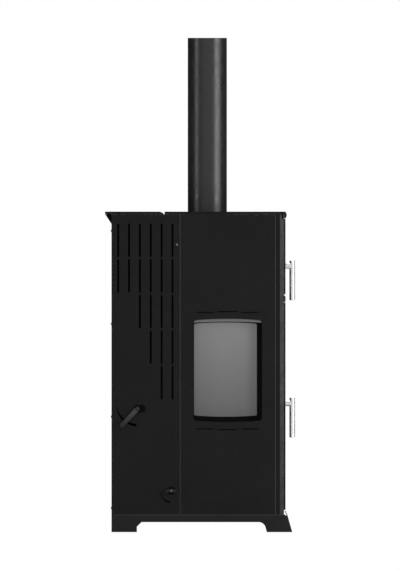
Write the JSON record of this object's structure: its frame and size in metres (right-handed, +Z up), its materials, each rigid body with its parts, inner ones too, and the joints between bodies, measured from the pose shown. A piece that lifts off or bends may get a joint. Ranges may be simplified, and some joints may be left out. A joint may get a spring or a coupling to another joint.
{
  "type": "wood burning stove",
  "caption": "Tall black steel wood burning stove with side windows, oven above the fire chamber, rear air chamber with vent slots, chrome door handles and a round flue pipe.",
  "frame": {"origin": "on the floor under the middle of the stove: midway between handle fronts and rear lip, on the casing's middle plane", "axes": "+Z up along the height, +Y towards the back panel, -Y towards the doors, -X the side with the air lever"},
  "size_m": [0.4975, 0.5928, 1.542],
  "materials": {
    "casing_paint": "satin black stove paint",
    "plinth_paint": "satin black stove paint",
    "trim_paint": "satin graphite paint",
    "cast_top": "black painted casting",
    "pipe_enamel": "satin black enamel",
    "heat_paint": "matt black heat paint",
    "grey_iron": "bare casting",
    "vermiculite": "pressed vermiculite board",
    "door_glass": "black-bordered ceramic glass",
    "side_glass": "smoke-tinted ceramic glass",
    "rope_seal": "glass-fibre rope",
    "polished_chrome": "polished",
    "zinc_steel": "zinc plated",
    "lever_steel": "graphite paint",
    "control_black": "matt black"
  },
  "bodies": {
    "stove": {"plinth_sides": "plinth_paint", "plinth_front": "plinth_paint", "plinth_rear": "plinth_paint", "base_plate": "plinth_paint", "levelling_feet": "zinc_steel", "left_front_panel": "casing_paint", "right_front_panel": "casing_paint", "left_rear_panel": "casing_paint", "right_rear_panel": "casing_paint", "seam_strips": "trim_paint", "back_panel": "casing_paint", "panel_screws": "zinc_steel", "rear_shields": "heat_paint", "top_plate": "cast_top", "lid_hinges": "zinc_steel", "rear_cap": "cast_top", "front_frame": "trim_paint", "latch_keepers": "zinc_steel", "corner_profiles": "trim_paint", "middle_rail": "trim_paint", "door_hinges": "zinc_steel", "chamber_sides": "heat_paint", "chamber_back": "heat_paint", "chamber_floor": "heat_paint", "chamber_top": "heat_paint", "hearth_plate": "heat_paint", "grate": "grey_iron", "side_firebricks": "vermiculite", "back_firebrick": "vermiculite", "hearth_bricks": "vermiculite", "support_rails": "heat_paint", "baffle": "vermiculite", "oven_box": "heat_paint", "window_glasses": "side_glass", "window_frames": "heat_paint", "window_seals": "rope_seal", "airwash_strips": "zinc_steel", "flue_pipe": "pipe_enamel", "air_box": "zinc_steel", "primary_duct": "zinc_steel", "secondary_duct": "zinc_steel", "rosettes": "control_black"},
    "fire_door": {"fire_door_frame": "heat_paint", "fire_door_glass": "door_glass", "fire_door_seal": "rope_seal"},
    "fire_handle": {"fire_door_handle": "polished_chrome", "fire_door_latch": "zinc_steel"},
    "oven_door": {"oven_door_frame": "heat_paint", "oven_door_glass": "door_glass", "oven_door_seal": "rope_seal"},
    "oven_handle": {"oven_door_handle": "polished_chrome", "oven_door_latch": "zinc_steel"},
    "rear_lid": {"rear_lid": "cast_top"},
    "air_lever": {"air_lever": "lever_steel", "lever_screw": "zinc_steel", "secondary_damper": "zinc_steel"},
    "air_knob": {"air_knob": "control_black", "primary_damper": "zinc_steel"},
    "ash_pan": {"ash_pan": "zinc_steel"},
    "oven_shelf": {"oven_shelf": "polished_chrome"}
  },
  "joints": [
    {"name": "fire_door_hinge", "type": "hinge", "parent": "stove", "child": "fire_door", "pos_m": [0.216, -0.256, 0.393], "axis": [0, 0, 1], "range_deg": [0, 100]},
    {"name": "fire_handle_turn", "type": "hinge", "parent": "fire_door", "child": "fire_handle", "pos_m": [-0.203, -0.28765, 0.4023], "axis": [0, -1, 0], "range_deg": [0, 90]},
    {"name": "oven_door_hinge", "type": "hinge", "parent": "stove", "child": "oven_door", "pos_m": [0.216, -0.256, 0.8585], "axis": [0, 0, 1], "range_deg": [0, 100]},
    {"name": "oven_handle_turn", "type": "hinge", "parent": "oven_door", "child": "oven_handle", "pos_m": [-0.203, -0.28765, 0.8304], "axis": [0, -1, 0], "range_deg": [0, 90]},
    {"name": "rear_lid_hinge", "type": "hinge", "parent": "stove", "child": "rear_lid", "pos_m": [0, 0.254, 0.9959], "axis": [-1, 0, 0], "range_deg": [0, 80]},
    {"name": "air_lever_turn", "type": "hinge", "parent": "stove", "child": "air_lever", "pos_m": [-0.2425, 0.1953, 0.385], "axis": [1, 0, 0], "range_deg": [-42.7, 47.3]},
    {"name": "air_knob_turn", "type": "hinge", "parent": "stove", "child": "air_knob", "pos_m": [-0.2425, 0.0899, 0.1289], "axis": [1, 0, 0], "range_deg": [-75, 0]},
    {"name": "ash_pan_slide", "type": "slide", "parent": "stove", "child": "ash_pan", "axis": [0, -1, 0], "range_m": [0, 0.09]},
    {"name": "oven_shelf_slide", "type": "slide", "parent": "stove", "child": "oven_shelf", "axis": [0, -1, 0], "range_m": [0, 0.08]}
  ],
  "couplings": [
    {"joint": "ash_pan_slide", "follows": "fire_door_hinge", "m_per_rad": 0.05},
    {"joint": "oven_shelf_slide", "follows": "oven_door_hinge", "m_per_rad": 0.045}
  ]
}
